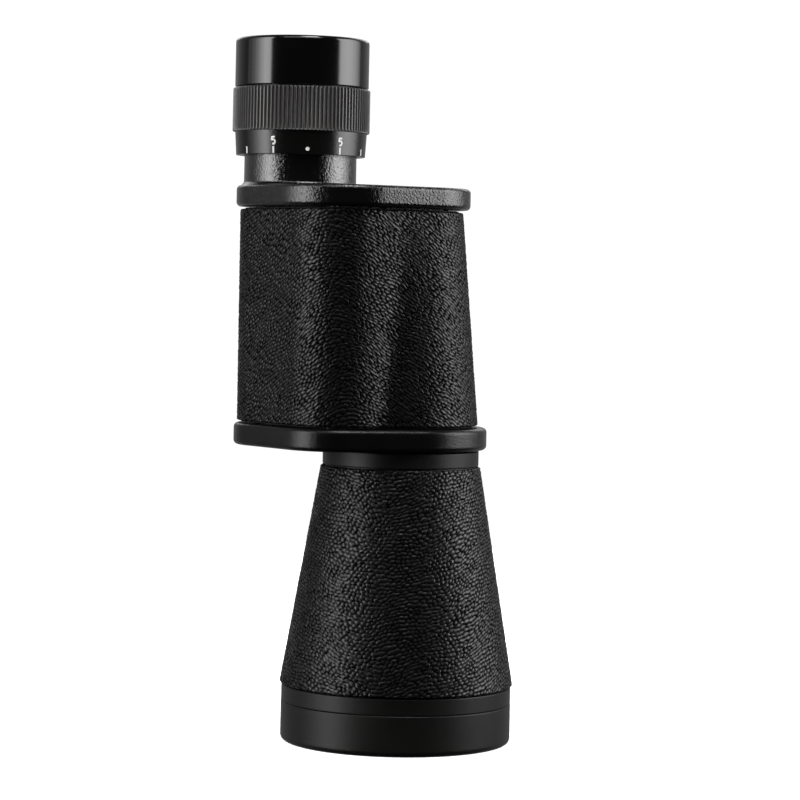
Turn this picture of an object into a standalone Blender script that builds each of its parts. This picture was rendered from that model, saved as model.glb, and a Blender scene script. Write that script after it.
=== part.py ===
"""A Porro-prism monocular, 10 x 50, standing on its objective ring: half of a classic pair of binoculars.

+Z runs up the tube from the objective to the eye. The objective axis and the eyepiece axis are parallel to
Z, with the prism corner between them on the -Y side. All sizes below are millimetres; the builders turn them
into metres. The origin is the middle of the ground plan, on the plane that the objective ring stands on.
"""

import math

import bmesh
import bpy
from mathutils import Vector

MM = 0.001
GAP = 0.3  # clearance left between two pieces that touch

# Optics: each Porro prism shifts the axis by its aperture, and the two shifts are at right angles.
PRISM_APERTURE = 19.6
PRISM_WIDTH = 19.8
PRISM_HEIGHT = 18.6  # the apex is ground 1 mm flat
AXIS_SHIFT = PRISM_APERTURE * math.sqrt(2)
LENS_RADIUS = 25.3
CLEAR_RADIUS = 24.6
WINDOW_RADIUS = 8.8

# Heights above the objective ring's face.
RING_TOP = 10.2
CONE_LOW, CONE_HIGH = 14.4, 70.0
BOTTOM_COVER_LOW, BOTTOM_COVER_HIGH = 74.5, 80.1
TOP_COVER_LOW, TOP_COVER_HIGH = 135.3, 140.8
NECK_TOP = 160.0
SKIRT_LOW, KNURL_LOW, KNURL_HIGH = 148.5, 154.5, 165.7
EYECUP_TOP = 178.5
SHELF_LOW, SHELF_HIGH = 106.6, 109.4

# Radii.
RING_RADIUS = 29.25
CONE_LOW_RADIUS, CONE_HIGH_RADIUS = 29.6, 20.4  # outside the leatherette
TUBE_NECK_RADIUS = 19.9
TUBE_SPIGOT_RADIUS = 17.0
NECK_RADIUS = 14.35
NECK_BORE = 12.2
NECK_RECESS = 13.2
BARREL_RADIUS = 11.85
BARREL_BORE = 10.6
SKIRT_LOW_RADIUS, SKIRT_HIGH_RADIUS = 16.55, 16.9
KNURL_RADIUS = 17.6
EYECUP_RADIUS = 17.15

# Leatherette and walls of the casting.
LEATHER = 0.9
CASTING_INSET = LEATHER + GAP
LOWER_WALL, UPPER_WALL = 2.5, 1.5

# Focusing thread: right-handed, so a turn towards +Z about +Z lifts the eyepiece.
THREAD_LEAD = 20.0
THREAD_STARTS = 3
THREAD_HELIX_RADIUS = 12.1
RIDGE_RADIUS, GROOVE_RADIUS = 0.5, 0.8
KNURL_RIBS, KNURL_DEPTH = 104, 0.4

# Ground plan of the prism housing: rounded corners about the eyepiece, the prism corner and the objective.
EYEPIECE = Vector((-AXIS_SHIFT / 2, 0.0))
CORNER = Vector((0.0, -AXIS_SHIFT / 2))
OBJECTIVE = Vector((AXIS_SHIFT / 2, 0.0))
PLAN_CENTRE = Vector((1.0, -6.0))
HOUSING_RADII_LOW = (15.2, 14.2, 19.6)  # at BOTTOM_COVER_HIGH, outside the leatherette
HOUSING_RADII_HIGH = (15.2, 14.2, 14.7)  # at TOP_COVER_LOW
BOTTOM_COVER_RADII = (16.2, 15.3, 21.8)
TOP_COVER_RADII = (16.2, 15.3, 16.5)
VALLEY_FILLET = 4.0
PLAN_POINTS = 40
PLAN_SHIFT = Vector(((KNURL_RADIUS - CONE_LOW_RADIUS) / 2, 0.0))  # centres the whole object
EYEPIECE_AXIS = EYEPIECE + PLAN_SHIFT
OBJECTIVE_AXIS = OBJECTIVE + PLAN_SHIFT

# Screws: head radius, head height, shank radius and length.
COVER_SCREW = (1.9, 1.1, 0.95, 9.0)
STRAP_SCREW = (1.5, 0.9, 0.75, 5.5)
BOSS_RADIUS = 2.4
BOSS_HEIGHT = 11.0
TOP_BOSSES = (CORNER + Vector((0, -9.8)), OBJECTIVE + Vector((10.6, 0)), Vector((6.0, 11.0)))
BOTTOM_BOSSES = (EYEPIECE + Vector((-9.8, 0)), CORNER + Vector((0, -9.8)), Vector((-6.0, 11.0)))

STRAP_THICKNESS, STRAP_WIDTH = 0.6, 6.0
STRAP_TONGUE = 12.1  # reach of the strap's tongue from the prism's middle
PILLAR_REACH, PILLAR_RADIUS = 12.6, 2.0

FINE, MEDIUM, COARSE = 36, 28, 12  # steps round a large, a middling and a small turned piece

MATERIALS = {  # base colour, metallic, roughness
    "black_paint": ((0.012, 0.012, 0.013), 0.0, 0.42),
    "leatherette": ((0.014, 0.014, 0.015), 0.0, 0.5),
    "matt_black": ((0.016, 0.016, 0.016), 0.0, 0.6),
    "black_anodised": ((0.02, 0.02, 0.021), 0.4, 0.4),
    "gloss_plastic": ((0.008, 0.008, 0.008), 0.0, 0.12),
    "glass": ((0.9, 0.95, 0.97), 0.0, 0.03),
    "cast_aluminium": ((0.42, 0.42, 0.43), 0.9, 0.5),
    "brass": ((0.62, 0.47, 0.2), 1.0, 0.35),
    "spring_steel": ((0.5, 0.5, 0.52), 1.0, 0.3),
    "screw_steel": ((0.25, 0.25, 0.26), 1.0, 0.35),
    "cork": ((0.36, 0.22, 0.11), 0.0, 0.9),
}


# ---------------------------------------------------------------- scene and helpers


def clear_scene():
    for obj in list(bpy.data.objects):
        bpy.data.objects.remove(obj, do_unlink=True)


def new_collection(name):
    collection = bpy.data.collections.new(name)
    bpy.context.scene.collection.children.link(collection)
    return collection


def material(name):
    """The named finish, made once."""
    found = bpy.data.materials.get(name)
    if found:
        return found
    colour, metallic, roughness = MATERIALS[name]
    made = bpy.data.materials.new(name)
    made.use_nodes = True
    shader = made.node_tree.nodes["Principled BSDF"]
    shader.inputs["Base Color"].default_value = (*colour, 1.0)
    shader.inputs["Metallic"].default_value = metallic
    shader.inputs["Roughness"].default_value = roughness
    if name == "glass":
        shader.inputs["Transmission Weight"].default_value = 1.0
    return made


def place(name, data, finish, location=(0.0, 0.0, 0.0), turn=0.0, collection=None):
    """An object at a place in millimetres, turned about Z. With no finish it is a cutter, not a part."""
    obj = bpy.data.objects.new(name, data)
    (collection or (PARTS if finish else CUTTERS)).objects.link(obj)
    obj.location = Vector(location) * MM
    obj.rotation_euler[2] = turn
    if finish:
        data.materials.append(material(finish))
    else:
        obj.hide_render = True
        obj.display_type = "WIRE"
    return obj


def at(plan, height=0.0):
    """A point of the ground plan, at a height, in the object's own frame."""
    return (plan.x + PLAN_SHIFT.x, plan.y + PLAN_SHIFT.y, height)


def boolean(obj, operands, operation):
    """One step for all of its operands, which are gathered in a collection of their own."""
    step = obj.modifiers.new(operation.title(), "BOOLEAN")
    step.operation = operation
    step.solver = "EXACT"
    step.operand_type = "COLLECTION"
    step.collection = bpy.data.collections.new(f"{obj.name} {step.name}")
    CUTTERS.children.link(step.collection)
    for operand in operands:
        CUTTERS.objects.unlink(operand)
        step.collection.objects.link(operand)


def cut(obj, *operands):
    boolean(obj, operands, "DIFFERENCE")


def join(obj, *operands):
    boolean(obj, operands, "UNION")


def smooth(mesh, angle=35.0):
    mesh.shade_smooth()
    mesh.set_sharp_from_angle(angle=math.radians(angle))


def arc(centre_r, centre_z, radius, start, end, steps):
    """Points of an arc of a turned profile, as (radius, height); angles in degrees from the +r direction."""
    angles = [math.radians(start + (end - start) * i / steps) for i in range(steps + 1)]
    return [(centre_r + radius * math.cos(a), centre_z + radius * math.sin(a)) for a in angles]


def turned(name, profile, finish, axis=OBJECTIVE_AXIS, steps=MEDIUM):
    """A piece turned about a vertical axis: solid where its profile starts on the axis, otherwise a ring."""
    solid = profile[0][0] == 0
    pairs = list(zip(profile, profile[1:] + profile[:1]))
    area = sum(a[0] * b[1] - b[0] * a[1] for a, b in pairs)
    if area > 0:  # the Screw modifier needs the outer side to run from top to bottom
        profile = profile[::-1]
    mesh = bpy.data.meshes.new(name)
    points = [(r * MM, 0.0, z * MM) for r, z in profile]
    edges = [(i, i + 1) for i in range(len(points) - 1)]
    if not solid:
        edges.append((len(points) - 1, 0))
    mesh.from_pydata(points, edges, [])
    obj = place(name, mesh, finish, (axis.x, axis.y, 0.0))
    screw = obj.modifiers.new("Turn", "SCREW")
    screw.steps = screw.render_steps = steps
    screw.use_merge_vertices = True
    screw.merge_threshold = 1e-5
    screw.use_smooth_shade = True
    return obj


def cylinder(name, location, radius, low, high, finish=None, steps=COARSE):
    """A solid round bar between two heights, about a point of the object's frame."""
    mesh = bpy.data.meshes.new(name)
    shape = bmesh.new()
    bmesh.ops.create_cone(
        shape,
        cap_ends=True,
        segments=steps,
        radius1=radius * MM,
        radius2=radius * MM,
        depth=(high - low) * MM,
    )
    shape.to_mesh(mesh)
    shape.free()
    return place(name, mesh, finish, (location[0], location[1], (low + high) / 2))


def block(name, location, size, finish=None, turn=0.0):
    """A box about its middle, turned about Z."""
    mesh = bpy.data.meshes.new(name)
    shape = bmesh.new()
    bmesh.ops.create_cube(shape, size=1.0)
    bmesh.ops.scale(shape, vec=Vector(size) * MM, verts=shape.verts)
    shape.to_mesh(mesh)
    shape.free()
    return place(name, mesh, finish, location, turn)


def as_mesh(curve_obj, finish):
    """A curve object made a closed mesh object at the same place, so that it can be cut or joined."""
    graph = bpy.context.evaluated_depsgraph_get()
    mesh = bpy.data.meshes.new_from_object(curve_obj.evaluated_get(graph))
    shape = bmesh.new()
    shape.from_mesh(mesh)
    bmesh.ops.remove_doubles(shape, verts=shape.verts, dist=1e-6)
    bmesh.ops.recalc_face_normals(shape, faces=shape.faces)
    shape.to_mesh(mesh)
    shape.free()
    name, matrix = curve_obj.name, curve_obj.matrix_world.copy()
    bpy.data.objects.remove(curve_obj)
    mesh.materials.clear()
    smooth(mesh)
    obj = place(name, mesh, finish)
    obj.matrix_world = matrix
    return obj


def slab(name, outline, low, high, finish=None, edge=0.0, holes=()):
    """A flat plate of the given outline between two heights, its edges broken; holes may run through it."""
    curve = bpy.data.curves.new(name, "CURVE")
    curve.dimensions = "2D"
    curve.fill_mode = "BOTH"
    curve.extrude = ((high - low) / 2 - edge) * MM
    curve.bevel_depth = edge * MM
    curve.bevel_resolution = 0
    curve.offset = -edge * MM
    for loop in (outline, *holes):
        spline = curve.splines.new("POLY")
        spline.points.add(len(loop) - 1)
        for point, where in zip(spline.points, loop):
            point.co = (where[0] * MM, where[1] * MM, 0.0, 1.0)
        spline.use_cyclic_u = True
    obj = place(name, curve, None)
    obj.location = Vector(at(Vector((0.0, 0.0)), (low + high) / 2)) * MM
    bpy.context.view_layer.update()
    return as_mesh(obj, finish)


# ---------------------------------------------------------------- the ground plan


def reach(direction, centre, radius):
    """How far a ray from the plan's centre runs before it leaves a circle; 0 where it misses the circle."""
    offset = centre - PLAN_CENTRE
    along = offset.dot(direction)
    across = offset.length_squared - along * along
    if across > radius * radius:
        return 0.0
    return along + math.sqrt(radius * radius - across)


def bar_reach(direction, a, radius_a, b, radius_b, steps=24):
    """How far a ray runs before it leaves the tapered bar that joins two circles."""
    shares = [i / steps for i in range(steps + 1)]
    return max(reach(direction, a.lerp(b, t), radius_a + (radius_b - radius_a) * t) for t in shares)


def soft_max(a, b, fillet):
    """The larger of two reaches, with a fillet where they cross."""
    overlap = max(fillet - abs(a - b), 0.0) / fillet
    return max(a, b) + overlap * overlap * fillet / 4


def plan_outline(radii, valley, inset, phase):
    """The housing's outline: a rounded triangle, with a hollow before the objective's side at valley 1."""
    eye, corner, lens = (r - inset for r in radii)
    outline = []
    for i in range(PLAN_POINTS):
        angle = 2 * math.pi * (i + phase) / PLAN_POINTS
        direction = Vector((math.cos(angle), math.sin(angle)))
        left = bar_reach(direction, EYEPIECE, eye, CORNER, corner)
        back = bar_reach(direction, EYEPIECE, eye, OBJECTIVE, lens)
        right = bar_reach(direction, CORNER, corner, OBJECTIVE, lens)
        filled = max(left, right, back)
        hollow = max(soft_max(left, reach(direction, OBJECTIVE, lens), VALLEY_FILLET), back)
        distance = filled + (min(hollow, filled) - filled) * valley
        outline.append(PLAN_CENTRE + direction * distance)
    return outline


def ring_outline(radii, centre=Vector((0.0, 0.0))):
    """Points evenly round a centre, one to each radius of the list."""
    angles = [2 * math.pi * i / len(radii) for i in range(len(radii))]
    return [centre + Vector((math.cos(a), math.sin(a))) * r for r, a in zip(radii, angles)]


def hull_outline(radii, steps=8):
    """The outline stretched round the three corners' circles, with nothing on its flats."""
    circles = list(zip((EYEPIECE, CORNER, OBJECTIVE), radii))
    normals = []
    for (a, radius_a), (b, radius_b) in zip(circles, circles[1:] + circles[:1]):
        side = b - a
        lean = math.asin((radius_a - radius_b) / side.length)
        normals.append(math.atan2(side.y, side.x) - math.pi / 2 + lean)
    outline = []
    for i, (centre, radius) in enumerate(circles):
        first, last = normals[i - 1], normals[i]
        while last < first:
            last += 2 * math.pi
        for k in range(steps + 1):
            angle = first + (last - first) * k / steps
            outline.append(centre + Vector((math.cos(angle), math.sin(angle))) * radius)
    return outline


def housing_section(height, inset, phase):
    """The housing's outline at a height: the valley and the objective's corner both fade towards the top."""
    rise = (height - BOTTOM_COVER_HIGH) / (TOP_COVER_LOW - BOTTOM_COVER_HIGH)
    radii = [low + (high - low) * rise for low, high in zip(HOUSING_RADII_LOW, HOUSING_RADII_HIGH)]
    return plan_outline(radii, 1.0 - rise, inset, phase)


def loft(name, heights, inset, finish=None, inner_inset=None):
    """A body through the housing's sections, open-ended as a sleeve where it has an inner inset.

    A cutter's corners stand half a step round from a part's, so that no two edges meet end to end.
    """
    phase = 0.0 if finish else 0.5
    mesh = bpy.data.meshes.new(name)
    shape = bmesh.new()

    def rings(by):
        made = []
        for height in heights:
            section = housing_section(height, by, phase)
            made.append([shape.verts.new((p.x * MM, p.y * MM, height * MM)) for p in section])
        return made

    def skin(low, high):
        for i in range(PLAN_POINTS):
            j = (i + 1) % PLAN_POINTS
            shape.faces.new((low[i], low[j], high[j], high[i]))

    outer = rings(inset)
    for low, high in zip(outer, outer[1:]):
        skin(low, high)
    if inner_inset is None:
        for ring, height in ((outer[0], heights[0]), (outer[-1], heights[-1])):
            hub = shape.verts.new((PLAN_CENTRE.x * MM, PLAN_CENTRE.y * MM, height * MM))
            for i in range(PLAN_POINTS):
                shape.faces.new((hub, ring[i], ring[(i + 1) % PLAN_POINTS]))
    else:
        inner = rings(inner_inset)
        for low, high in zip(inner, inner[1:]):
            skin(high, low)
        skin(inner[0], outer[0])
        skin(outer[-1], inner[-1])
    bmesh.ops.recalc_face_normals(shape, faces=shape.faces)
    bmesh.ops.triangulate(shape, faces=shape.faces)
    shape.to_mesh(mesh)
    shape.free()
    smooth(mesh)
    return place(name, mesh, finish, at(Vector((0.0, 0.0))))


# ---------------------------------------------------------------- screws and threads


def screw(name, size, location, head_up=True):
    """A slotted cheese-head screw standing at a point, which is the seat of its head."""
    head, head_height, shank, length = size
    slot_depth = head_height * 0.55
    profile = [(0, head_height), (head, head_height), (head, 0)]
    profile += [(shank, 0), (shank, -length), (0, -length)]
    obj = turned(name, profile, "screw_steel", Vector((0.0, 0.0)), COARSE)
    slot = block(name + "_slot", (0, 0, head_height), (head * 3, 0.45, slot_depth * 2))
    slot.parent = obj
    cut(obj, slot)
    obj.location = Vector(location) * MM
    obj.rotation_euler[2] = math.radians(40)
    if not head_up:
        obj.rotation_euler[0] = math.pi
    return obj


def helix_bars(name, helix_radius, wire_radius, low, high, finish=None):
    """The thread's starts, as bars wound on one helix radius, between two heights."""
    bars = []
    step = math.radians(15)
    for start in range(THREAD_STARTS):
        curve = bpy.data.curves.new(f"{name}_{start + 1}", "CURVE")
        curve.dimensions = "3D"
        curve.bevel_depth = wire_radius * MM
        curve.bevel_resolution = 0
        curve.use_fill_caps = True
        first = 2 * math.pi * low / THREAD_LEAD
        count = math.ceil(2 * math.pi * (high - low) / THREAD_LEAD / step) + 1
        spline = curve.splines.new("POLY")
        spline.points.add(count - 1)
        for i, point in enumerate(spline.points):
            turn = first + i * step
            height = THREAD_LEAD * turn / (2 * math.pi)
            angle = turn + 2 * math.pi * start / THREAD_STARTS
            x, y = helix_radius * math.cos(angle), helix_radius * math.sin(angle)
            point.co = (x * MM, y * MM, height * MM, 1.0)
        obj = place(curve.name, curve, None, (EYEPIECE_AXIS.x, EYEPIECE_AXIS.y, 0.0))
        bpy.context.view_layer.update()
        bars.append(as_mesh(obj, finish))
    return bars


# ---------------------------------------------------------------- housing and covers


def build_housing(fittings):
    """The cast prism housing: a lofted shell, open at both ends, with the prism shelf across its middle.

    The fittings are the pillars, and the pockets and screw holes, that hold the prisms' straps.
    """
    pillars, hollows = fittings
    low, high = BOTTOM_COVER_HIGH + GAP, TOP_COVER_LOW - GAP
    heights = [low + (high - low) * i / 3 for i in range(4)]
    housing = loft("prism_housing", heights, CASTING_INSET, "cast_aluminium")
    middle = (SHELF_LOW + SHELF_HIGH) / 2
    lower = loft("lower_cavity", [low - 2, (low + middle) / 2, middle], CASTING_INSET + LOWER_WALL)
    upper = loft("upper_cavity", [middle - 0.5, (high + middle) / 2, high + 2], CASTING_INSET + UPPER_WALL)
    cut(housing, lower, upper)
    outline = housing_section(middle, CASTING_INSET + UPPER_WALL / 2, 0.25)
    windows = [ring_outline([WINDOW_RADIUS] * 24, centre) for centre in (EYEPIECE, CORNER, OBJECTIVE)]
    solids = [slab("shelf", outline, SHELF_LOW, SHELF_HIGH, holes=windows)]
    hole = COVER_SCREW[2] + 0.25
    depth = COVER_SCREW[3] - 2.0
    for i, plan in enumerate(TOP_BOSSES, 1):
        solids.append(cylinder(f"top_boss_{i}", at(plan), BOSS_RADIUS, high - BOSS_HEIGHT, high - 0.4))
        hollows.append(cylinder(f"top_boss_hole_{i}", at(plan), hole, high - depth, high + 1, steps=9))
    for i, plan in enumerate(BOTTOM_BOSSES, 1):
        solids.append(cylinder(f"bottom_boss_{i}", at(plan), BOSS_RADIUS, low + 0.4, low + BOSS_HEIGHT))
        hollows.append(cylinder(f"bottom_boss_hole_{i}", at(plan), hole, low - 1, low + depth, steps=9))
    join(housing, *solids, *pillars)
    cut(housing, *hollows)


def build_leatherette():
    """The leatherette sleeve round the housing, a little short of each cover."""
    low, high = BOTTOM_COVER_HIGH + 2 * GAP, TOP_COVER_LOW - 2 * GAP
    heights = [low + (high - low) * i / 4 for i in range(5)]
    loft("housing_leatherette", heights, 0.0, "leatherette", inner_inset=LEATHER)


def cover_screws(label, bosses, face, upwards):
    """Sets a screw over each boss; gives the counterbores and holes that the cover needs for them."""
    head, head_height, shank, _ = COVER_SCREW
    sign = 1 if upwards else -1
    seat = face - sign * (head_height + 0.4)
    hollows = []
    for i, plan in enumerate(bosses, 1):
        low, high = sorted((seat, face + sign))
        hollows.append(cylinder(f"{label}_counterbore_{i}", at(plan), head + GAP, low, high))
        low, high = sorted((seat + sign, face - sign * 8))
        hollows.append(cylinder(f"{label}_hole_{i}", at(plan), shank + 0.25, low, high, steps=9))
        screw(f"{label}_screw_{i}", COVER_SCREW, at(plan, seat + sign * 0.1), head_up=upwards)
    return hollows


def build_bottom_cover():
    """The cover plate on the objective side, with the stepped bore that the objective tube screws into."""
    outline = hull_outline(BOTTOM_COVER_RADII)
    cover = slab("bottom_cover", outline, BOTTOM_COVER_LOW, BOTTOM_COVER_HIGH, "black_paint", edge=0.9)
    step = BOTTOM_COVER_HIGH - 1.3
    bore_radius = TUBE_SPIGOT_RADIUS + GAP
    bore = cylinder("tube_bore", at(OBJECTIVE), bore_radius, BOTTOM_COVER_LOW - 1, step, steps=FINE)
    light = cylinder("tube_light", at(OBJECTIVE), 13.9, step - 1, BOTTOM_COVER_HIGH + 1, steps=MEDIUM)
    cut(cover, bore, light, *cover_screws("bottom_cover", BOTTOM_BOSSES, BOTTOM_COVER_LOW, upwards=False))


def build_top_cover():
    """The cover plate on the eye side, cast in one with the neck that holds the focusing thread."""
    outline = hull_outline(TOP_COVER_RADII)
    cover = slab("top_cover", outline, TOP_COVER_LOW, TOP_COVER_HIGH, "black_paint", edge=0.9)
    foot = 0.6
    profile = [(NECK_RECESS - 1, TOP_COVER_HIGH - 2), (NECK_RADIUS + foot, TOP_COVER_HIGH - 2)]
    profile += [(NECK_RADIUS + foot, TOP_COVER_HIGH), (NECK_RADIUS, TOP_COVER_HIGH + foot)]
    profile += [(NECK_RADIUS, NECK_TOP), (NECK_RECESS - 1, NECK_TOP)]
    join(cover, turned("neck_wall", profile, None, EYEPIECE_AXIS))
    recess_low, recess_top = TOP_COVER_LOW + 1.5, 148.0
    recess = cylinder("neck_recess", EYEPIECE_AXIS, NECK_RECESS, recess_low, recess_top, steps=MEDIUM)
    bore = cylinder("neck_bore", EYEPIECE_AXIS, NECK_BORE, recess_top - 1, NECK_TOP + 1, steps=MEDIUM)
    light = cylinder("neck_light", EYEPIECE_AXIS, 11.5, TOP_COVER_LOW - 1, TOP_COVER_LOW + 2, steps=MEDIUM)
    grooves = helix_bars("groove", THREAD_HELIX_RADIUS, GROOVE_RADIUS, recess_top - 1.4, NECK_TOP + 1.0)
    screw_holes = cover_screws("top_cover", TOP_BOSSES, TOP_COVER_HIGH, upwards=True)
    cut(cover, recess, bore, light, *grooves, *screw_holes)


# ---------------------------------------------------------------- prisms


def build_prism(name, start, end, upwards):
    """A Porro prism from one axis to the next, with its cork pad, strap and screw.

    Gives the pillar that the strap is screwed to, and the hollows that the housing needs for the strap.
    """
    sign = 1 if upwards else -1
    seat = (SHELF_HIGH + GAP) if upwards else (SHELF_LOW - GAP)
    along = (end - start).normalized()
    middle = (start + end) / 2
    turn = math.atan2(along.y, along.x)
    apex = seat + sign * PRISM_HEIGHT
    half = PRISM_APERTURE
    flat = PRISM_APERTURE - PRISM_HEIGHT

    prism = wedge(name, half, flat, seat, apex, middle, turn, "glass")
    ends = stadium(name + "_ends", half, PRISM_WIDTH / 2, middle, turn, seat, apex)
    boolean(prism, [ends], "INTERSECT")

    pad_low, pad_high = sorted((apex + sign * 0.3, apex + sign * 1.1))
    pad_place = at(middle, (pad_low + pad_high) / 2)
    block(f"{name}_pad", pad_place, (3.0, 12.0, pad_high - pad_low), "cork", turn)

    # The strap runs across the prism, from a pocket in the wall to a pillar on the inner side.
    inward = inner_side(along, middle)
    strap_height = apex + sign * (1.1 + GAP + STRAP_THICKNESS / 2)
    tail = PILLAR_REACH + PILLAR_RADIUS
    strap_middle = middle + inward * (tail - STRAP_TONGUE) / 2
    size = (STRAP_WIDTH, tail + STRAP_TONGUE, STRAP_THICKNESS)
    strap = block(f"{name}_strap", at(strap_middle, strap_height), size, "spring_steel", turn)
    pocket_middle = middle - inward * (STRAP_TONGUE - 0.7)
    pocket_size = (STRAP_WIDTH + 0.6, 2.0, 1.4)
    pocket = block(f"{name}_pocket", at(pocket_middle, strap_height), pocket_size, None, turn)

    pillar_place = middle + inward * PILLAR_REACH
    pillar_top = strap_height - sign * (STRAP_THICKNESS / 2 + GAP)
    foot = (SHELF_HIGH - 1) if upwards else (SHELF_LOW + 1)
    low, high = sorted((foot, pillar_top))
    pillar = cylinder(f"{name}_pillar", at(pillar_place), PILLAR_RADIUS, low, high)
    shank = STRAP_SCREW[2]
    low, high = sorted((pillar_top - sign * STRAP_SCREW[3], strap_height + sign * 2))
    hole = cylinder(f"{name}_pillar_hole", at(pillar_place), shank + 0.25, low, high, steps=9)
    low, high = strap_height - 1, strap_height + 1
    cut(strap, cylinder(f"{name}_strap_hole", at(pillar_place), shank + 0.25, low, high, steps=9))
    head_seat = strap_height + sign * (STRAP_THICKNESS / 2 + 0.1)
    screw(f"{name}_strap_screw", STRAP_SCREW, at(pillar_place, head_seat), head_up=upwards)
    return pillar, pocket, hole


def inner_side(along, middle):
    """The level direction across a prism that points into the middle of the housing."""
    across = Vector((-along.y, along.x))
    return across if across.dot(-middle) > 0 else -across


def wedge(name, half, flat, seat, apex, middle, turn, finish):
    """A roof-shaped block: its base lies at the seat, and its flat-ground ridge runs across at the apex."""
    height = (apex - seat) * MM
    outline = [(-half, 0.0), (half, 0.0), (flat, 1.0), (-flat, 1.0)]
    mesh = bpy.data.meshes.new(name)
    shape = bmesh.new()
    side = PRISM_WIDTH / 2
    face = shape.faces.new([shape.verts.new((x * MM, -side * MM, z * height)) for x, z in outline])
    swept = bmesh.ops.extrude_face_region(shape, geom=[face])
    moved = [v for v in swept["geom"] if isinstance(v, bmesh.types.BMVert)]
    bmesh.ops.translate(shape, verts=moved, vec=(0, 2 * side * MM, 0))
    bmesh.ops.recalc_face_normals(shape, faces=shape.faces)
    shape.to_mesh(mesh)
    shape.free()
    return place(name, mesh, finish, at(middle, seat), turn)


def stadium(name, half, radius, middle, turn, low, high):
    """A cutter with half-round ends, which rounds a prism's ends."""
    low, high = sorted((low, high))
    steps = 10
    outline = []
    for side in (1, -1):
        for i in range(steps + 1):
            angle = math.radians(-90 + 180 * i / steps) + (0 if side > 0 else math.pi)
            outline.append((side * (half - radius) + radius * math.cos(angle), radius * math.sin(angle)))
    obj = slab(name, outline, low - 1, high + 1)
    obj.location = Vector(at(middle, (low + high) / 2)) * MM
    obj.rotation_euler[2] = turn
    return obj


# ---------------------------------------------------------------- objective


def cone_radius(height):
    """The leatherette's radius on the objective tube at a height."""
    share = (height - CONE_LOW) / (CONE_HIGH - CONE_LOW)
    return CONE_LOW_RADIUS + (CONE_HIGH_RADIUS - CONE_LOW_RADIUS) * share


def lens_arc(vertex, radius_of_curvature, edge_radius, bulge, steps=3):
    """A lens surface as profile points from the axis out; bulge is +1 where the middle is the highest."""
    points = []
    for i in range(steps + 1):
        r = edge_radius * i / steps
        sag = radius_of_curvature - math.sqrt(radius_of_curvature**2 - r**2)
        points.append((r, vertex - bulge * sag))
    return points


def spanner_slots(ring, name, radius, width, low, high, axis):
    """Two notches across a ring's face, for the tool that turns it."""
    middle = (low + high) / 2
    slot = block(name, (axis.x, axis.y, middle), (2 * radius + 4, width, high - low))
    cut(ring, slot)


def build_objective():
    """The objective tube, its leatherette and front ring, and the lens in its cell."""
    inset = CASTING_INSET
    wall = 1.9
    bore = 26.5
    seat = 20.8
    spigot_top = BOTTOM_COVER_HIGH - 1.6
    tube = [(bore, RING_TOP + GAP), (29.2, RING_TOP + GAP), (29.2, CONE_LOW)]
    tube += [(cone_radius(CONE_LOW) - inset, CONE_LOW)]
    tube += [(cone_radius(CONE_HIGH + GAP) - inset, CONE_HIGH + GAP), (TUBE_NECK_RADIUS, CONE_HIGH + GAP)]
    tube += [(TUBE_NECK_RADIUS, BOTTOM_COVER_LOW - GAP), (TUBE_SPIGOT_RADIUS, BOTTOM_COVER_LOW - GAP)]
    tube += [(TUBE_SPIGOT_RADIUS, spigot_top), (15.0, spigot_top), (15.6, CONE_HIGH)]
    tube += [(cone_radius(seat + 2) - inset - wall, seat + 2), (CLEAR_RADIUS, seat), (bore, seat)]
    turned("objective_tube", tube, "matt_black", steps=FINE)

    low, high = CONE_LOW + GAP, CONE_HIGH
    skin = [(cone_radius(low) - LEATHER, low), (cone_radius(low), low), (cone_radius(high), high)]
    skin += [(cone_radius(high) - LEATHER, high)]
    turned("objective_leatherette", skin, "leatherette", steps=FINE)

    mouth = 25.2
    ring = [(mouth, 2.0), (mouth + 1.0, 0.0)]
    ring += arc(RING_RADIUS - 2.0, 2.0, 2.0, 270, 360, 3)
    ring += [(RING_RADIUS, RING_TOP - 0.4), (RING_RADIUS - 0.4, RING_TOP), (bore - GAP, RING_TOP)]
    ring += [(bore - GAP, 11.0), (mouth, 11.0)]
    turned("objective_front_ring", ring, "matt_black", steps=FINE)

    cell_bore = LENS_RADIUS + GAP
    cell = [(bore - GAP, 11.3), (bore - GAP, seat - GAP), (CLEAR_RADIUS, seat - GAP)]
    cell += [(CLEAR_RADIUS, seat - 0.9), (cell_bore, seat - 0.9), (cell_bore, 11.3)]
    turned("objective_cell", cell, "black_anodised", steps=FINE)

    # A cemented doublet, with the thickness of its cement left between the two glasses.
    front, join_curve, back_curve = 118.0, 84.0, 260.0
    crown_low, crown_high = 10.2, 17.6
    crown = lens_arc(crown_low, front, LENS_RADIUS, -1)
    crown += lens_arc(crown_high, join_curve, LENS_RADIUS, 1)[::-1]
    turned("objective_crown_lens", crown, "glass", steps=FINE)
    flint_low, flint_high = crown_high + 0.25, 20.85
    flint = lens_arc(flint_low, join_curve, LENS_RADIUS, 1)
    flint += lens_arc(flint_high, back_curve, LENS_RADIUS, 1)[::-1]
    turned("objective_flint_lens", flint, "glass", steps=FINE)

    keeper_radius = cell_bore - 0.25
    keeper = [(CLEAR_RADIUS, 11.4), (keeper_radius, 11.4), (keeper_radius, 12.6), (CLEAR_RADIUS, 12.5)]
    keeper_ring = turned("objective_retaining_ring", keeper, "black_anodised", steps=FINE)
    spanner_slots(keeper_ring, "objective_keeper_slot", 26, 1.6, 11.0, 11.9, OBJECTIVE_AXIS)

    low, high = 44.0, 47.0
    outside = cone_radius(high) - inset - wall - 0.6
    baffle = [(outside - 2.2, low + 1.2), (outside, low), (outside - 0.4, high), (outside - 1.2, high)]
    turned("light_baffle", baffle, "matt_black", steps=FINE)


# ---------------------------------------------------------------- eyepiece


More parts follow.
